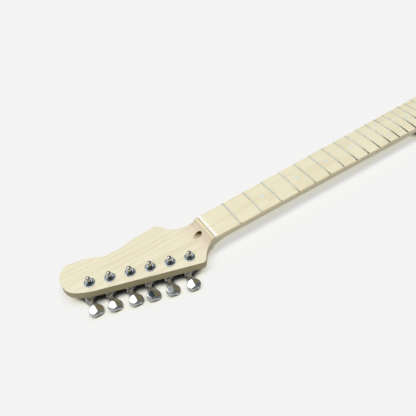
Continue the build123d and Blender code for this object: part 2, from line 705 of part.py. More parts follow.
def make_worm_shaft():
    """Shaft with the worm, a thrust collar, and a square tenon for the button."""
    root = worm_root_radius()
    rear = -WORM_ROOM_HALF - REAR_JOURNAL_LENGTH
    collar_start = WORM_ROOM_HALF - SHAFT_COLLAR_LENGTH
    half = SHAFT_TENON / 2
    tenon_end = BUTTON_START + TENON_LENGTH
    shaft = rod_x(root, rear, collar_start) + Rot(0, 90, 0) * worm_thread()
    shaft = shaft + rod_x(SHAFT_COLLAR_RADIUS, collar_start, WORM_ROOM_HALF)
    shaft = shaft + rod_x(SHAFT_RADIUS, WORM_ROOM_HALF, BUTTON_START)
    shaft = shaft + block(BUTTON_START, tenon_end, -half, half, -half, half)
    tap = rod_x(BUTTON_SCREW_RADIUS + INLAY_CLEARANCE, tenon_end - BUTTON_SCREW_LENGTH, tenon_end + 1)
    return shaft - tap


def button_blank():
    """Rounded hexagon seen from above, wide in the middle."""
    start = BUTTON_START + BUTTON_COLLAR_LENGTH - 0.8
    end = BUTTON_START + BUTTON_LENGTH
    wide = BUTTON_HALF_WIDTH
    points = [
        (start, BUTTON_NECK_HALF_WIDTH),
        (start + BUTTON_SHOULDER, wide),
        (end - BUTTON_OUTER_SHOULDER, wide),
        (end, BUTTON_END_HALF_WIDTH),
        (end, -BUTTON_END_HALF_WIDTH),
        (end - BUTTON_OUTER_SHOULDER, -wide),
        (start + BUTTON_SHOULDER, -wide),
        (start, -BUTTON_NECK_HALF_WIDTH),
    ]
    plan = make_face(Polyline(*points, close=True))
    blank = Pos(0, 0, -BUTTON_RIDGE_HALF - 1) * extrude(plan, 2 * BUTTON_RIDGE_HALF + 2)
    return fillet(blank.edges().filter_by(Axis.Z), BUTTON_CORNER_RADIUS)


def make_button():
    """Cast button with a ridge along the shaft and bevelled ends."""
    start = BUTTON_START
    end = start + BUTTON_LENGTH
    wide = BUTTON_HALF_WIDTH
    top = BUTTON_RIDGE_HALF
    rim = BUTTON_RIM_HALF
    gable = make_face(Polyline((0, wide, rim), (0, 0, top), (0, -wide, rim), (0, -wide, -rim), (0, 0, -top), (0, wide, -rim), close=True))
    gable = Pos(start, 0, 0) * extrude(gable, amount=BUTTON_LENGTH, dir=(1, 0, 0))
    low = BUTTON_END_HALF
    side_points = [
        (start, 0, BUTTON_COLLAR_RADIUS),
        (start + BUTTON_COLLAR_LENGTH, 0, top),
        (end - BUTTON_BEVEL, 0, top),
        (end, 0, low),
        (end, 0, -low),
        (end - BUTTON_BEVEL, 0, -top),
        (start + BUTTON_COLLAR_LENGTH, 0, -top),
        (start, 0, -BUTTON_COLLAR_RADIUS),
    ]
    side = extrude(make_face(Polyline(*side_points, close=True)), wide + 1, both=True)
    body = button_blank() & gable & side
    body = body + rod_x(BUTTON_COLLAR_RADIUS, start, start + BUTTON_COLLAR_LENGTH)
    half = SHAFT_TENON / 2 + INLAY_CLEARANCE
    tenon_end = start + TENON_LENGTH
    screw_seat = end - BUTTON_SCREW_HEAD
    cuts = [block(start - 1, tenon_end + 0.1, -half, half, -half, half)]
    cuts.append(rod_x(BUTTON_SCREW_RADIUS + INLAY_CLEARANCE, tenon_end, end + 1))
    cuts.append(rod_x(BUTTON_SCREW_HEAD_RADIUS + INLAY_CLEARANCE, screw_seat, end + 1))
    return body - cuts


def make_button_screw():
    """Small screw through the button's end into the shaft."""
    end = BUTTON_START + BUTTON_LENGTH
    seat = end - BUTTON_SCREW_HEAD
    tip = BUTTON_START + TENON_LENGTH - BUTTON_SCREW_LENGTH + 0.4
    head = rod_x(BUTTON_SCREW_HEAD_RADIUS, seat, end)
    slot = block(end - 0.5, end + 1, -0.2, 0.2, -3, 3)
    return head + rod_x(BUTTON_SCREW_RADIUS, tip, seat) - slot


def make_mount_screw():
    """Wood screw through the housing's lug into the headstock."""
    seat = -LUG_THICKNESS
    shank = rod_z(MOUNT_SCREW_RADIUS, seat, MOUNT_SCREW_LENGTH - 0.5, -LUG_OFFSET)
    head = rod_z(MOUNT_HEAD_RADIUS, seat - MOUNT_HEAD, seat, -LUG_OFFSET)
    slot = block(-LUG_OFFSET - 3, -LUG_OFFSET + 3, -0.3, 0.3, seat - MOUNT_HEAD - 1, seat - MOUNT_HEAD + 0.5)
    return head + shank - slot


def save(name, shape):
    """Write one piece to its own file."""
    export_step(shape, os.path.join("parts", name + ".step"))


def save_tuners():
    """Write the six tuners, each shaft turned to its own rest angle and each post with it."""
    housing = make_housing()
    post = make_post()
    gear = make_gear()
    gear_screw = make_gear_screw()
    shaft = make_worm_shaft()
    button = make_button()
    button_screw = make_button_screw()
    for index in range(TUNER_COUNT):
        string = TUNER_COUNT - index
        place = tuner_place(index)
        turn = BUTTON_TURNS[index % len(BUTTON_TURNS)]
        axle = place * Pos(0, -WORM_OFFSET, -SHAFT_DROP) * Rot(turn, 0, 0)
        wheel = place * Rot(0, 0, -turn / GEAR_TEETH)
        name = "tuner_" + str(string) + "_"
        save(name + "housing", place * housing)
        save(name + "post", wheel * post)
        save(name + "gear", wheel * gear)
        save(name + "gear_screw", wheel * gear_screw)
        save(name + "worm_shaft", axle * shaft)
        save(name + "button", axle * button)
        save(name + "button_screw", axle * button_screw)


def save_sets():
    """Write the pieces that every tuner has alike, one set to a file."""
    sets = {
        "tuner_covers": make_cover(),
        "shaft_bushings": make_shaft_bushing(),
        "face_bushings": make_face_bushing(),
        "washers": make_washer(),
        "mount_screws": make_mount_screw(),
    }
    for name, piece in sets.items():
        save(name, Compound(children=[tuner_place(i) * piece for i in range(TUNER_COUNT)]))


def main():
    os.makedirs("parts", exist_ok=True)
    save("neck", make_neck())
    save("fretboard", make_board())
    save("frets", make_frets())
    save("nut", make_nut())
    save("position_dots", make_dots())
    save("side_dots", make_side_dots())
    save("truss_bar", make_rod_bar())
    save("truss_blocks", make_rod_blocks())
    save("truss_rod", make_rod())
    save("truss_nut", make_rod_nut())
    save_tuners()
    save_sets()


main()
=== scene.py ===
import bpy
import numpy as np
from mathutils import Matrix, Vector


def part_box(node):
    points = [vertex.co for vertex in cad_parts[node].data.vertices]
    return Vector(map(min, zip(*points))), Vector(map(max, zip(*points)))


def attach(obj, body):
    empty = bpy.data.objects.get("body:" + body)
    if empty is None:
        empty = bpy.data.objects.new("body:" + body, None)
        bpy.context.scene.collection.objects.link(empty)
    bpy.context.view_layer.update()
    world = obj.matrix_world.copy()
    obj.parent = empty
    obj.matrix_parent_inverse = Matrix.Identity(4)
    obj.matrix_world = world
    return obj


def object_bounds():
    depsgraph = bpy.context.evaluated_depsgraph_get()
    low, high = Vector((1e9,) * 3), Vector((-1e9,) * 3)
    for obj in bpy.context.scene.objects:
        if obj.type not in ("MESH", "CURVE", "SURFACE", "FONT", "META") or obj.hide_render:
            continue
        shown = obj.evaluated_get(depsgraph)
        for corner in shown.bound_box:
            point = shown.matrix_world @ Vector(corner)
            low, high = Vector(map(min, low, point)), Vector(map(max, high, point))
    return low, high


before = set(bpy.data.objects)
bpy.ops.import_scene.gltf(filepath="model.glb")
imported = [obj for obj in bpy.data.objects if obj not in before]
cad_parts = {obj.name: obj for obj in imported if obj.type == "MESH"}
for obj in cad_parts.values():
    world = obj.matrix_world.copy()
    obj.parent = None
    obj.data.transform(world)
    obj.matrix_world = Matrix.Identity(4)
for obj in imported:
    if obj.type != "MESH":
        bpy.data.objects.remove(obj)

solids_box = [list(corner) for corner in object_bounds()]
FLOOR_Z = solids_box[0][2]


# The neck blank: one length of hard maple, sawn near the quarter, planed, shaped and sanded bare, with
# a thin oil finish. Its growth rings run along the neck, and its ray flecks and pores show close up.
def step(tree, kind, feeds=None, **settings):
    """Adds a node of that kind. feeds gives inputs: a number, a colour or another step's output."""
    node = tree.nodes.new(kind)
    for name, value in settings.items():
        setattr(node, name, value)
    for socket, value in (feeds or {}).items():
        if isinstance(value, bpy.types.NodeSocket):
            tree.links.new(value, node.inputs[socket])
        else:
            node.inputs[socket].default_value = value
    return node


def reckon(tree, operation, *terms, clamp=False):
    """The output of a Math node that does the operation on up to three terms."""
    feeds = dict(enumerate(terms))
    return step(tree, "ShaderNodeMath", feeds, operation=operation, use_clamp=clamp).outputs[0]


def stretched(tree, place, along, across, deep):
    """The place with its three axes multiplied, so that a pattern is 1/along metres long, and so on."""
    feeds = {0: place, 1: (along, across, deep)}
    return step(tree, "ShaderNodeVectorMath", feeds, operation="MULTIPLY").outputs[0]


def cloud(tree, place, scale, detail=2.0, roughness=0.5, distortion=0.0):
    """A noise from 0 to 1 at that many humps a metre."""
    feeds = {"Vector": place, "Scale": scale, "Detail": detail, "Roughness": roughness, "Distortion": distortion}
    return step(tree, "ShaderNodeTexNoise", feeds).outputs[0]


def ramped(tree, value, low, high, bottom=0.0, top=1.0):
    """The value carried smoothly from bottom at low to top at high."""
    feeds = {"Value": value, "From Min": low, "From Max": high, "To Min": bottom, "To Max": top}
    return step(tree, "ShaderNodeMapRange", feeds, interpolation_type="SMOOTHSTEP").outputs[0]


def tinted(tree, share, first, second):
    """The first colour turning into the second by the share."""
    node = step(tree, "ShaderNodeMix", data_type="RGBA")
    for socket, value in ((0, share), (6, first), (7, second)):
        if isinstance(value, bpy.types.NodeSocket):
            tree.links.new(value, node.inputs[socket])
        else:
            node.inputs[socket].default_value = value
    return node.outputs[2]


def recipe(name, takes, gives):
    """An empty node group, its inlet's outputs and its outlet's inputs. takes holds (name, type, start)."""
    group = bpy.data.node_groups.new(name, "ShaderNodeTree")
    for label, kind, start in takes:
        group.interface.new_socket(label, in_out="INPUT", socket_type=kind).default_value = start
    for label, kind in gives:
        group.interface.new_socket(label, in_out="OUTPUT", socket_type=kind)
    inlet = group.nodes.new("NodeGroupInput")
    outlet = group.nodes.new("NodeGroupOutput")
    return group, inlet.outputs, outlet.inputs


FLOAT = "NodeSocketFloat"
COLOUR = "NodeSocketColor"
VECTOR = "NodeSocketVector"


def maple_figure_recipe():
    """Sawn maple. Growth rings are circles about a pith line along X, bent by slow waves; a ring darkens
    to a thin late line. Fibres are noise drawn out along X, flecks are its peaks, and curl is a
    ripple across X that shows where a slow noise lets it."""
    takes = [
        ("Place", VECTOR, (0.0, 0.0, 0.0)),
        ("Pale", COLOUR, (0.78, 0.69, 0.5, 1.0)),
        ("Tan", COLOUR, (0.6, 0.45, 0.28, 1.0)),
        ("Pith Y", FLOAT, 0.03),
        ("Pith Z", FLOAT, -0.12),
        ("Ring Width", FLOAT, 0.0025),
        ("Ring Depth", FLOAT, 0.4),
        ("Curl", FLOAT, 0.15),
    ]
    gives = [("Color", COLOUR), ("Roughness", FLOAT), ("Height", FLOAT)]
    group, given, out = recipe("maple_figure", takes, gives)
    place = given["Place"]
    bend = cloud(group, stretched(group, place, 5.0, 32.0, 32.0), 1.0, 2.0, 0.45)
    wander = cloud(group, stretched(group, place, 22.0, 120.0, 120.0), 1.0, 2.0, 0.5)
    parts = step(group, "ShaderNodeSeparateXYZ", {0: place}).outputs
    aside = reckon(group, "SUBTRACT", parts[1], given["Pith Y"])
    above = reckon(group, "SUBTRACT", parts[2], given["Pith Z"])
    radius = reckon(group, "SQRT", reckon(group, "MULTIPLY_ADD", aside, aside, reckon(group, "MULTIPLY", above, above)))
    radius = reckon(group, "MULTIPLY_ADD", bend, 0.016, radius)
    radius = reckon(group, "MULTIPLY_ADD", wander, 0.0016, radius)
    ring = reckon(group, "FRACT", reckon(group, "DIVIDE", radius, given["Ring Width"]))
    slow = ramped(group, ring, 0.15, 0.86)
    fall = ramped(group, ring, 0.93, 1.0, 1.0, 0.0)
    late = reckon(group, "MULTIPLY", reckon(group, "POWER", slow, 2.5), fall)
    patch = cloud(group, stretched(group, place, 9.0, 60.0, 60.0), 1.0, 3.0, 0.55)
    fibre = cloud(group, stretched(group, place, 45.0, 1500.0, 1500.0), 1.0, 3.0, 0.6)
    streak = cloud(group, stretched(group, place, 12.0, 420.0, 420.0), 1.0, 2.0, 0.5)
    pores = cloud(group, stretched(group, place, 420.0, 3600.0, 3600.0), 1.0, 1.0, 0.5)
    fleck = ramped(group, pores, 0.66, 0.78)
    ripple = reckon(group, "SINE", reckon(group, "MULTIPLY_ADD", parts[0], 900.0, reckon(group, "MULTIPLY", wander, 16.0)))
    shows = ramped(group, cloud(group, place, 26.0, 1.0), 0.42, 0.66)
    curl = reckon(group, "MULTIPLY", reckon(group, "MULTIPLY", ripple, shows), given["Curl"])
    share = reckon(group, "MULTIPLY", late, given["Ring Depth"])
    share = reckon(group, "MULTIPLY_ADD", ramped(group, patch, 0.3, 0.72), 0.16, share)
    share = reckon(group, "MULTIPLY_ADD", reckon(group, "SUBTRACT", fibre, 0.5), 0.4, share)
    share = reckon(group, "MULTIPLY_ADD", reckon(group, "SUBTRACT", streak, 0.5), 0.4, share)
    share = reckon(group, "MULTIPLY_ADD", fleck, 0.25, share)
    share = reckon(group, "ADD", share, curl, clamp=True)
    group.links.new(tinted(group, share, given["Pale"], given["Tan"]), out["Color"])
    rough = reckon(group, "MULTIPLY_ADD", fibre, 0.12, 0.42)
    rough = reckon(group, "MULTIPLY_ADD", fleck, 0.15, rough)
    group.links.new(rough, out["Roughness"])
    tall = reckon(group, "MULTIPLY_ADD", fleck, -0.6, fibre)
    tall = reckon(group, "MULTIPLY_ADD", late, -0.3, tall)
    tall = reckon(group, "MULTIPLY_ADD", curl, 2.0, tall)
    group.links.new(tall, out["Height"])
    return group


def worn_edge_recipe():
    """Where an edge lies within Reach: the rounded normal leaves the flat one there, and the Edge mask
    is how far, broken up by a fine noise."""
    takes = [("Place", VECTOR, (0.0, 0.0, 0.0)), ("Reach", FLOAT, 0.0004), ("Breakup", FLOAT, 900.0)]
    gives = [("Edge", FLOAT), ("Normal", VECTOR)]
    group, given, out = recipe("worn_edge", takes, gives)
    round_off = step(group, "ShaderNodeBevel", {"Radius": given["Reach"]}, samples=6).outputs[0]
    flat = step(group, "ShaderNodeNewGeometry").outputs["True Normal"]
    agree = step(group, "ShaderNodeVectorMath", {0: round_off, 1: flat}, operation="DOT_PRODUCT").outputs["Value"]
    lean = ramped(group, agree, 0.72, 0.995, 1.0, 0.0)
    broken = ramped(group, cloud(group, given["Place"], given["Breakup"], 3.0), 0.35, 0.62, 0.35, 1.0)
    group.links.new(reckon(group, "MULTIPLY", lean, broken), out["Edge"])
    group.links.new(round_off, out["Normal"])
    return group


def used(tree, group, **feeds):
    """Places a recipe in a finish. An underscore in a feed's name stands for a space."""
    node = step(tree, "ShaderNodeGroup", node_tree=group)
    for name, value in feeds.items():
        socket = node.inputs[name.replace("_", " ")]
        if isinstance(value, bpy.types.NodeSocket):
            tree.links.new(value, socket)
        else:
            socket.default_value = value
    return node.outputs


def new_finish(name, **fixed):
    """A material with its own shader. fixed holds the values that are the same all over the surface."""
    finish = bpy.data.materials.new(name)
    finish.use_nodes = True
    tree = finish.node_tree
    shader = tree.nodes["Principled BSDF"]
    for socket, value in fixed.items():
        shader.inputs[socket.replace("_", " ")].default_value = value
    place = step(tree, "ShaderNodeTexCoord").outputs["Object"]
    return finish, tree, shader, place


def feed(tree, shader, **outputs):
    """Joins outputs to the shader's inputs. An underscore in a name stands for a space."""
    for socket, value in outputs.items():
        tree.links.new(value, shader.inputs[socket.replace("_", " ")])


def raised(tree, height, reach, normal):
    """A bump of that height in metres, laid over another normal."""
    feeds = {"Strength": 1.0, "Distance": reach, "Height": height, "Normal": normal}
    return step(tree, "ShaderNodeBump", feeds).outputs[0]


def dress(node, finish):
    """Gives a CAD node its finish."""
    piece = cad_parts[node]
    piece.data.materials.clear()
    piece.data.materials.append(finish)


maple_figure = maple_figure_recipe()
worn_edge = worn_edge_recipe()


def blank_maple():
    """Oiled bare maple: the figure, warmer on worn edges, with painted shade in dark tan on the headstock's
    faces turned sideways, the scoop's darker pinkish tan, partly the wood's tone and partly painted
    shade, and painted shade in dark brown in the rod's hole."""
    finish, tree, shader, place = new_finish("blank_maple", Coat_Weight=0.04, Coat_Roughness=0.35)
    figure = used(tree, maple_figure, Place=place, Pith_Y=0.035, Pith_Z=-0.085, Ring_Width=0.0042,
                  Pale=(0.684, 0.634, 0.481, 1.0), Tan=(0.53, 0.446, 0.27, 1.0), Ring_Depth=0.27, Curl=0.09)
    edge = used(tree, worn_edge, Place=place, Reach=0.0005)
    colour = tinted(tree, reckon(tree, "MULTIPLY", edge["Edge"], 0.25), figure["Color"], (0.42, 0.3, 0.17, 1.0))
    slope = step(tree, "ShaderNodeSeparateXYZ", {0: step(tree, "ShaderNodeNewGeometry").outputs["True Normal"]}).outputs[2]
    x, y, z = step(tree, "ShaderNodeSeparateXYZ", {0: place}).outputs
    # Painted shade: the headstock's faces turned sideways are tinted dark tan.
    painted_side_lighting = ramped(tree, reckon(tree, "ABSOLUTE", slope), 0.25, 0.8, 0.8, 0.0)
    painted_side_lighting = reckon(tree, "MULTIPLY", painted_side_lighting, ramped(tree, x, 0.425, 0.45))
    colour = tinted(tree, painted_side_lighting, colour, (0.32, 0.25, 0.11, 1.0))
    # The scoop past the nut is tinted darker pinkish tan: partly the wood's tone, partly painted shade of  its steeper
    # slope.
    scoop_tone_and_shade = reckon(tree, "MULTIPLY", ramped(tree, x, 0.436, 0.466, 0.7, 0.0), ramped(tree, x, 0.42, 0.43))
    colour = tinted(tree, scoop_tone_and_shade, colour, (0.6, 0.51, 0.385, 1.0))
    # Painted shade in the rod's hole: dark brown within its radius, full up to x = 0.438 and a third as  strong past x
    # = 0.449.
    rise = reckon(tree, "MULTIPLY", reckon(tree, "MAXIMUM", reckon(tree, "SUBTRACT", x, HOLE_BEND_X), 0.0), HOLE_RISE)
    above = reckon(tree, "SUBTRACT", reckon(tree, "SUBTRACT", z, ROD_AXIS_Z), rise)
    off_axis = reckon(tree, "SQRT", reckon(tree, "MULTIPLY_ADD", y, y, reckon(tree, "MULTIPLY", above, above)))
    inside = reckon(tree, "MULTIPLY", ramped(tree, off_axis, 0.0042, 0.0046, 1.0, 0.0), ramped(tree, x, 0.438, 0.449, 1.0, 0.3))
    colour = tinted(tree, inside, colour, (0.19, 0.105, 0.03, 1.0))
    feed(tree, shader, Base_Color=colour, Roughness=figure["Roughness"],
         Normal=raised(tree, figure["Height"], 0.00004, edge["Normal"]))
    return finish


ROD_AXIS_Z = 0.0146
HOLE_BEND_X = 0.430
HOLE_RISE = 0.315
dress("neck", blank_maple())


# The fretboard: a second, paler board of maple glued on the shaft, its playing face crowned. It is
# finished in a thin satin lacquer, and a hair of glue shows along its seam with the neck.
BOARD_SEAM_Z = 0.019


def board_maple():
    """Straight fine grain under lacquer, darker tan on worn edges and tan on the cut end past the nut,
    with painted light in a brighter warm tan on faces turned sideways, the scoop's darker pinkish tan
    on the board's end, partly the wood's tone and partly painted shade, and the brown glue line where
    the seam is."""
    finish, tree, shader, place = new_finish("board_maple", Coat_Weight=0.22, Coat_Roughness=0.28)
    figure = used(tree, maple_figure, Place=place, Pith_Y=-0.02, Pith_Z=-0.3, Ring_Width=0.0033,
                  Pale=(0.694, 0.64, 0.472, 1.0), Tan=(0.56, 0.472, 0.294, 1.0), Ring_Depth=0.26, Curl=0.05)
    edge = used(tree, worn_edge, Place=place, Reach=0.0004)
    x, y, z = step(tree, "ShaderNodeSeparateXYZ", {0: place}).outputs
    above_seam = reckon(tree, "SUBTRACT", z, BOARD_SEAM_Z)
    glue = reckon(tree, "MULTIPLY", ramped(tree, above_seam, 0.0001, 0.0004, 0.7, 0.0), ramped(tree, x, 0.428, 0.431, 1.0, 0.0))
    slope = step(tree, "ShaderNodeSeparateXYZ", {0: step(tree, "ShaderNodeNewGeometry").outputs["True Normal"]}).outputs[2]
    # Painted light: faces turned sideways are tinted a brighter warm tan.
    painted_side_lighting = ramped(tree, reckon(tree, "ABSOLUTE", slope), 0.25, 0.8, 0.8, 0.0)
    tanned = ramped(tree, x, 0.4282, 0.4286)
    cut_end = reckon(tree, "MULTIPLY", tanned, ramped(tree, x, 0.4296, 0.4315, 0.8, 0.0))
    # The board's end on the scoop takes the scoop's darker pinkish tan: partly the wood's tone, partly  painted shade.
    board_end_tone_and_shade = ramped(tree, x, 0.4315, 0.4335, 0.0, 0.7)
    colour = tinted(tree, reckon(tree, "MULTIPLY", edge["Edge"], 0.3), figure["Color"], (0.42, 0.33, 0.19, 1.0))
    colour = tinted(tree, painted_side_lighting, colour, (0.86, 0.7, 0.42, 1.0))
    colour = tinted(tree, cut_end, colour, (0.5, 0.4, 0.23, 1.0))
    colour = tinted(tree, board_end_tone_and_shade, colour, (0.6, 0.51, 0.385, 1.0))
    colour = tinted(tree, glue, colour, (0.2, 0.12, 0.05, 1.0))
    feed(tree, shader, Base_Color=colour, Roughness=figure["Roughness"],
         Normal=raised(tree, figure["Height"], 0.00002, edge["Normal"]))
    return finish


dress("fretboard", board_maple())


# The frets: nickel silver wire with a rolled crown and a barbed tang, pressed into sawn slots, levelled,
# crowned and polished along the wire. Grime gathers where the crown meets the board.
def draw_marks_recipe():
    """Marks left by drawing, turning or rubbing: fine lines and a slow smear, both drawn out along
    one axis by Stretch, and stray specks. Grey gives a shade, Roughness and Height their values."""
    takes = [
        ("Place", VECTOR, (0.0, 0.0, 0.0)),
        ("Stretch", VECTOR, (1.0, 1.0, 1.0)),
        ("Base Rough", FLOAT, 0.2),
        ("Depth", FLOAT, 0.1),
    ]
    gives = [("Grey", FLOAT), ("Roughness", FLOAT), ("Height", FLOAT)]
    group, given, out = recipe("draw_marks", takes, gives)
    drawn = step(group, "ShaderNodeVectorMath", {0: given["Place"], 1: given["Stretch"]}, operation="MULTIPLY").outputs[0]
    lines = cloud(group, drawn, 1.0, 3.0, 0.65)
    smear = cloud(group, given["Place"], 160.0, 3.0, 0.5)
    specks = ramped(group, cloud(group, given["Place"], 2600.0, 0.0), 0.72, 0.8)
    grey = reckon(group, "MULTIPLY_ADD", lines, 0.5, reckon(group, "MULTIPLY", smear, 0.5))
    grey = reckon(group, "MULTIPLY_ADD", specks, 0.3, grey)
    group.links.new(grey, out["Grey"])
    rough = reckon(group, "MULTIPLY_ADD", reckon(group, "SUBTRACT", grey, 0.5), given["Depth"], given["Base Rough"])
    group.links.new(reckon(group, "MAXIMUM", rough, 0.02), out["Roughness"])
    group.links.new(lines, out["Height"])
    return group


draw_marks = draw_marks_recipe()


def metal_finish(name, bright, dull, rough, depth, stretch, reach=0.0002, bump=0.000004, edge_shade=0.35, grime_and_shade=None, **fixed):
    """A plated, drawn or turned metal: bright to dull by its marks, edges rounded by reach and rubbed
    towards dull. A darker colour low on the piece is given as (colour, height low, height high): grime
    on the frets, painted shade at the foot of the bushings."""
    finish, tree, shader, place = new_finish(name, Metallic=1.0, **fixed)
    marks = used(tree, draw_marks, Place=place, Stretch=stretch, Base_Rough=rough, Depth=depth)
    edge = used(tree, worn_edge, Place=place, Reach=reach, Breakup=2200.0)
    share = ramped(tree, marks["Grey"], 0.35, 0.75)
    share = reckon(tree, "MULTIPLY_ADD", edge["Edge"], edge_shade, share, clamp=True)
    colour = tinted(tree, share, bright, dull)
    # A darker colour low on the piece: grime on the frets, painted shade on the bushings.
    if grime_and_shade:
        low_colour, low, high = grime_and_shade
        height = step(tree, "ShaderNodeSeparateXYZ", {0: place}).outputs[2]
        spread = reckon(tree, "MULTIPLY_ADD", marks["Grey"], 0.0004, height)
        colour = tinted(tree, ramped(tree, spread, low, high, 0.8, 0.0), colour, low_colour)
    feed(tree, shader, Base_Color=colour, Roughness=marks["Roughness"],
         Normal=raised(tree, marks["Height"], bump, edge["Normal"]))
    return finish


fret_wire = metal_finish("fret_wire", (0.74, 0.76, 0.68, 1.0), (0.58, 0.6, 0.52, 1.0), 0.1, 0.12,
                         (3000.0, 60.0, 3000.0), grime_and_shade=((0.25, 0.24, 0.17, 1.0), 0.0242, 0.0250))
dress("frets", fret_wire)


# The nut: a blank of bleached bone, slotted for six strings, its ends and top rounded and buffed.
def bleached_bone():
    """White bone, buffed, with faint long pores."""
    finish, tree, shader, place = new_finish("bleached_bone", Coat_Weight=0.2, Coat_Roughness=0.15)
    grain = cloud(tree, stretched(tree, place, 1800.0, 120.0, 1800.0), 1.0, 3.0, 0.6)
    patch = cloud(tree, place, 240.0, 2.0)
    edge = used(tree, worn_edge, Place=place, Reach=0.0004)
    share = reckon(tree, "MULTIPLY_ADD", ramped(tree, grain, 0.5, 0.8), 0.5, reckon(tree, "MULTIPLY", patch, 0.3))
    feed(tree, shader, Base_Color=tinted(tree, share, (0.86, 0.855, 0.82, 1.0), (0.8, 0.785, 0.73, 1.0)),
         Roughness=ramped(tree, grain, 0.3, 0.8, 0.22, 0.42),
         Normal=raised(tree, grain, 0.00001, edge["Normal"]))
    return finish


dress("nut", bleached_bone())


# The markers: discs of imitation pearl in the board's face and plugs of the same sheet in its edge,
# glued in drilled holes and sanded level, so that their rims show a fine line of glue.
def pearl_sheet():
    """Pearly plastic: slow folded waves of two pale tints, with a brighter sheen on their crests."""
    finish, tree, shader, place = new_finish("pearl_sheet", Coat_Weight=0.6, Coat_Roughness=0.12, Roughness=0.3)
    fold = cloud(tree, place, 420.0, 3.0, 0.6, 1.4)
    fine = cloud(tree, place, 2400.0, 2.0)
    wave = reckon(tree, "SINE", reckon(tree, "MULTIPLY", fold, 26.0))
    share = ramped(tree, wave, -1.0, 1.0)
    colour = tinted(tree, share, (0.55, 0.6, 0.61, 1.0), (0.7, 0.73, 0.7, 1.0))
    edge = used(tree, worn_edge, Place=place, Reach=0.00025)
    colour = tinted(tree, reckon(tree, "MULTIPLY", edge["Edge"], 0.6), colour, (0.3, 0.26, 0.18, 1.0))
    feed(tree, shader, Base_Color=colour, Roughness=ramped(tree, fine, 0.3, 0.7, 0.22, 0.38),
         Normal=raised(tree, fold, 0.00002, edge["Normal"]))
    return finish


pearl = pearl_sheet()
dress("position_dots", pearl)
dress("side_dots", pearl)


# The truss rod: a flat steel bar under a round rod in one channel, joined by brass blocks at both ends.
# The rod's own end carries the blued steel adjuster with its hexagon socket.
rod_steel = metal_finish("rod_steel", (0.36, 0.36, 0.36, 1.0), (0.14, 0.13, 0.12, 1.0), 0.38, 0.3, (50.0, 2400.0, 2400.0), edge_shade=0.2)
adjuster_steel = metal_finish("adjuster_steel", (0.13, 0.14, 0.17, 1.0), (0.05, 0.05, 0.06, 1.0), 0.32, 0.25, (900.0, 900.0, 900.0), edge_shade=-0.4)
rod_brass = metal_finish("rod_brass", (0.72, 0.52, 0.22, 1.0), (0.42, 0.28, 0.1, 1.0), 0.3, 0.3, (300.0, 2400.0, 2400.0))
dress("truss_bar", rod_steel)
dress("truss_rod", rod_steel)
dress("truss_blocks", rod_brass)
dress("truss_nut", adjuster_steel)


# The tuning machines: zinc castings, turned posts and faceted buttons, all polished and plated bright
# chrome. The plate is thin over the casting, so a faint waviness and fine wiping marks show in it.
TUNERS = range(1, 7)
bright = (0.84, 0.85, 0.87, 1.0)
smoky = (0.7, 0.71, 0.73, 1.0)
chrome_plate = metal_finish("chrome_plate", bright, smoky, 0.035, 0.06, (700.0, 700.0, 700.0), bump=0.000001)
soft_chrome = metal_finish("soft_chrome", bright, smoky, 0.035, 0.06, (700.0, 700.0, 700.0), reach=0.0024, bump=0.000001)
turned_chrome = metal_finish("turned_chrome", (0.76, 0.75, 0.71, 1.0), (0.62, 0.61, 0.56, 1.0), 0.06, 0.1, (160.0, 160.0, 5200.0), bump=0.000002)
for k in TUNERS:
    dress(f"tuner_{k}_housing", chrome_plate)
    dress(f"tuner_{k}_button", soft_chrome)
    dress(f"tuner_{k}_post", turned_chrome)
# The washers' chrome is painted a dull blue-grey at half brightness: a painted reflection of the dim  studio.
washer_chrome_painted_grey = metal_finish("washer_chrome_painted_grey", (0.52, 0.57, 0.61, 1.0), (0.37, 0.41, 0.44, 1.0), 0.36, 0.2, (900.0, 900.0, 900.0))
dress("washers", washer_chrome_painted_grey)
# The bushings' chrome is painted dark blue-grey, a painted reflection of the dim studio, and a  near-black band low at
# their foot is painted shade where they meet the washers.
bush_chrome_painted_dark = metal_finish("bush_chrome_painted_dark", (0.33, 0.36, 0.41, 1.0), (0.24, 0.26, 0.3, 1.0), 0.05, 0.08, (700.0, 700.0, 700.0), bump=0.000002,
                           grime_and_shade=((0.03, 0.035, 0.04, 1.0), 0.0188, 0.0203))
dress("face_bushings", bush_chrome_painted_dark)
dress("tuner_covers", chrome_plate)


# The crown of each post: its end is turned to a low dome and buffed, so that it mirrors the studio in
# one small bright spot. It is the post's own chrome, and turns with it.
CROWN_RADIUS = 0.00265
CROWN_HEIGHT = 0.0007
CROWN_RINGS = 7
CROWN_STEPS = 36


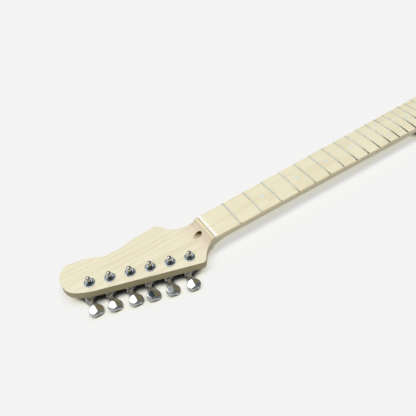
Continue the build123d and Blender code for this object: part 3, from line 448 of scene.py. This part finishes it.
def crown_dome(name, middle, flat_top):
    """A dome over a flat round end. Its height falls with the square of the way out from the middle:
    height = CROWN_HEIGHT (1 - s s), where s runs from 0 in the middle to 1 at the rim."""
    out = np.linspace(1.0 / CROWN_RINGS, 1.0, CROWN_RINGS)[:, None]
    turn = np.linspace(0.0, 2.0 * np.pi, CROWN_STEPS, endpoint=False)[None, :]
    rings = np.stack([middle[0] + CROWN_RADIUS * out * np.cos(turn),
                      middle[1] + CROWN_RADIUS * out * np.sin(turn),
                      flat_top + CROWN_HEIGHT * (1.0 - out * out) + 0.0 * turn], axis=-1)
    points = np.vstack([rings.reshape(-1, 3), [(middle[0], middle[1], flat_top + CROWN_HEIGHT)]])
    here = np.arange(CROWN_STEPS)
    after = (here + 1) % CROWN_STEPS
    faces = [(CROWN_RINGS * CROWN_STEPS, a, b) for a, b in zip(here, after)]
    for ring in range(CROWN_RINGS - 1):
        inner = ring * CROWN_STEPS
        outer = inner + CROWN_STEPS
        faces += [(inner + a, outer + a, outer + b, inner + b) for a, b in zip(here, after)]
    mesh = bpy.data.meshes.new(name)
    mesh.from_pydata(points.tolist(), [], [tuple(int(v) for v in face) for face in faces])
    mesh.polygons.foreach_set("use_smooth", [True] * len(mesh.polygons))
    crown = bpy.data.objects.new(name, mesh)
    bpy.context.scene.collection.objects.link(crown)
    return crown


for k in TUNERS:
    low, high = (np.array(corner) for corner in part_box(f"tuner_{k}_post"))
    crown = crown_dome(f"post_crown_{k}", (low + high) / 2.0, high[2])
    crown.data.materials.append(turned_chrome)
    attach(crown, f"post_{k}")


# Inside each housing: a hobbed brass wheel held on the post by a steel screw, driven by a worm cut on
# the button's shaft. The shaft turns in a plated sleeve, and a small screw holds the button on it.
wheel_brass = metal_finish("wheel_brass", (0.78, 0.58, 0.26, 1.0), (0.5, 0.34, 0.13, 1.0), 0.26, 0.25, (2600.0, 2600.0, 200.0))
screw_steel = metal_finish("screw_steel", (0.66, 0.67, 0.68, 1.0), (0.42, 0.42, 0.42, 1.0), 0.22, 0.2, (2400.0, 2400.0, 500.0))
worm_steel = metal_finish("worm_steel", (0.6, 0.6, 0.61, 1.0), (0.36, 0.35, 0.34, 1.0), 0.18, 0.2, (2200.0, 500.0, 2200.0))
for k in TUNERS:
    dress(f"tuner_{k}_gear", wheel_brass)
    dress(f"tuner_{k}_gear_screw", screw_steel)
    dress(f"tuner_{k}_worm_shaft", worm_steel)
    dress(f"tuner_{k}_button_screw", screw_steel)
dress("shaft_bushings", chrome_plate)
dress("mount_screws", screw_steel)


# The room: a matt white floor sheet under level soft boxes hung over the neck, in a studio that is dim
# elsewhere, so that plated faces turned away from the boxes go dark.
FLOOR_HALF = 12.0
FLOOR_GLOW = 0.535
GLOW_REACH = 0.015
corners = np.array([(-1.0, -1.0, 0.0), (1.0, -1.0, 0.0), (1.0, 1.0, 0.0), (-1.0, 1.0, 0.0)])
floor_mesh = bpy.data.meshes.new("floor_sheet")
floor_mesh.from_pydata((corners * FLOOR_HALF + (0.3, 0.0, FLOOR_Z)).tolist(), [], [(0, 1, 2, 3)])
floor_sheet = bpy.data.objects.new("floor_sheet", floor_mesh)
bpy.context.scene.collection.objects.link(floor_sheet)


def matt_paper():
    """White paper that glows a little by itself, but not where a piece hangs close over it. The glow
    lifts the shadows beside the neck, and plated faces mirror little of it. Where a piece hangs close
    over it, the paper's colour is painted near black, a painted shadow, and near the pieces the glow
    is painted warm, as light thrown back off the wood. From below it is clear."""
    finish, tree, shader, place = new_finish("matt_paper", Specular_IOR_Level=0.1, Emission_Strength=1.0)
    tooth = cloud(tree, place, 900.0, 3.0)
    toothed = tinted(tree, tooth, (0.28, 0.28, 0.28, 1.0), (0.29, 0.29, 0.29, 1.0))
    open_above = step(tree, "ShaderNodeAmbientOcclusion", {"Distance": GLOW_REACH}, samples=16).outputs["AO"]
    paths = step(tree, "ShaderNodeLightPath").outputs
    bare = reckon(tree, "MAXIMUM", ramped(tree, open_above, 0.42, 0.54), paths["Is Diffuse Ray"])
    glow = reckon(tree, "MULTIPLY", bare, ramped(tree, paths["Is Glossy Ray"], 0.0, 1.0, FLOOR_GLOW, 0.3 * FLOOR_GLOW))
    # Painted light: near pieces the paper's glow turns warm yellow, as light thrown back off the wood.
    painted_warm_bounce = tinted(tree, ramped(tree, open_above, 0.58, 0.97), (1.0, 0.98, 0.8, 1.0), (1.0, 1.0, 1.0, 1.0))
    behind = step(tree, "ShaderNodeNewGeometry").outputs["Backfacing"]
    # Painted shadow: the paper's colour goes near black where a piece hangs close over it.
    feed(tree, shader, Roughness=ramped(tree, tooth, 0.3, 0.7, 0.85, 0.95),
         Alpha=reckon(tree, "SUBTRACT", 1.0, behind),
         Base_Color=tinted(tree, ramped(tree, open_above, 0.15, 0.6), (0.04, 0.043, 0.035, 1.0), toothed),
         Emission_Color=tinted(tree, glow, (0.0, 0.0, 0.0, 1.0), painted_warm_bounce))
    return finish


floor_mesh.materials.append(matt_paper())

BOX_WHITE = (2.0, 2.0, 2.0, 1.0)
BORDER_GREY = (0.4, 0.42, 0.42, 1.0)
FLAG_NAVY = (0.035, 0.05, 0.065, 1.0)
SEEN_BOX = (-0.405, 0.8, -1.1, -0.45)
SEEN_BORDER = (-0.453, 0.9, -1.2, -0.4)
SEEN_FLAG = (-0.8, 0.95, -1.3, -0.3)
LIGHT_BOX = (-0.45, 0.75, -0.16, 0.14)
LIGHT_GLOW = (11.7, 11.7, 11.7, 1.0)
DIM_SIDE = (0.12, 0.135, 0.14, 1.0)
DIM_ROOM = (0.21, 0.225, 0.21, 1.0)
DARK_CORNER = (0.02, 0.025, 0.03, 1.0)
CAMERA_SIDE = (0.25, 0.55, 0.8)


def studio_sky():
    """The studio seen by direction. A level panel over the floor covers the directions whose X and Y parts,
    each over the Z part, lie within its four edges. Plated faces see a white box with a grey border
    and a dark flag beside it, and a dark corner behind the camera. Matt faces see one wide box."""
    world = bpy.data.worlds.new("studio")
    bpy.context.scene.world = world
    world.use_nodes = True
    tree = world.node_tree
    tree.nodes.clear()
    out = step(tree, "ShaderNodeOutputWorld")
    facing = step(tree, "ShaderNodeTexCoord").outputs["Generated"]
    x, y, z = step(tree, "ShaderNodeSeparateXYZ", {0: facing}).outputs
    up = reckon(tree, "MAXIMUM", z, 0.05)
    across = reckon(tree, "DIVIDE", x, up)
    deep = reckon(tree, "DIVIDE", y, up)

    def level_box(edges, blur):
        """1 inside the box's edges and 0 outside, over a soft border."""
        x_low, x_high, y_low, y_high = edges
        sides = [ramped(tree, across, x_low - blur, x_low + blur), ramped(tree, across, x_high - blur, x_high + blur, 1.0, 0.0),
                 ramped(tree, deep, y_low - blur, y_low + blur), ramped(tree, deep, y_high - blur, y_high + blur, 1.0, 0.0)]
        inside = ramped(tree, z, 0.1, 0.2)
        for side in sides:
            inside = reckon(tree, "MULTIPLY", inside, side)
        return inside

    mirrored = tinted(tree, ramped(tree, x, -0.7, -0.3, 1.0, 0.0), DIM_ROOM, DIM_SIDE)
    mirrored = tinted(tree, ramped(tree, reckon(tree, "SUBTRACT", z, y), -0.2, -0.04, 1.0, 0.0), mirrored, DARK_CORNER)
    toward = step(tree, "ShaderNodeVectorMath", {0: facing, 1: CAMERA_SIDE}, operation="DOT_PRODUCT").outputs["Value"]
    mirrored = tinted(tree, ramped(tree, toward, 0.9, 0.95), mirrored, DARK_CORNER)
    for edges, tone in ((SEEN_FLAG, FLAG_NAVY), (SEEN_BORDER, BORDER_GREY), (SEEN_BOX, BOX_WHITE)):
        mirrored = tinted(tree, level_box(edges, 0.015), mirrored, tone)
    shone = tinted(tree, level_box(LIGHT_BOX, 0.05), DIM_ROOM, LIGHT_GLOW)
    paths = step(tree, "ShaderNodeLightPath").outputs
    sky = tinted(tree, paths["Is Glossy Ray"], shone, mirrored)
    lit = step(tree, "ShaderNodeBackground", {"Color": sky, "Strength": 1.0}).outputs[0]
    pale = step(tree, "ShaderNodeBackground", {"Color": (0.885, 0.885, 0.885, 1.0), "Strength": 1.0}).outputs[0]
    mixed = step(tree, "ShaderNodeMixShader", {0: paths["Is Camera Ray"], 1: lit, 2: pale}).outputs[0]
    tree.links.new(mixed, out.inputs[0])


studio_sky()
bpy.context.scene.view_settings.view_transform = "Standard"

# The camera looks down on the headstock from the tuner side, from where the photograph was taken.
CAMERA_PLACE = (0.6299, 0.3615, 0.5239)
CAMERA_RIGHT = (-0.83213, 0.55146, -0.05872)
CAMERA_DOWN = (0.44505, 0.60086, -0.66400)
CAMERA_AHEAD = (-0.33089, -0.57867, -0.74542)
lens = bpy.data.cameras.new("camera")
lens.sensor_width = 36.0
lens.lens = 43.28
lens.clip_start = 0.01
camera = bpy.data.objects.new("camera", lens)
bpy.context.scene.collection.objects.link(camera)
turn = Matrix((CAMERA_RIGHT, [-c for c in CAMERA_DOWN], [-c for c in CAMERA_AHEAD])).transposed()
camera.matrix_world = Matrix.Translation(CAMERA_PLACE) @ turn.to_4x4()
bpy.context.scene.camera = camera
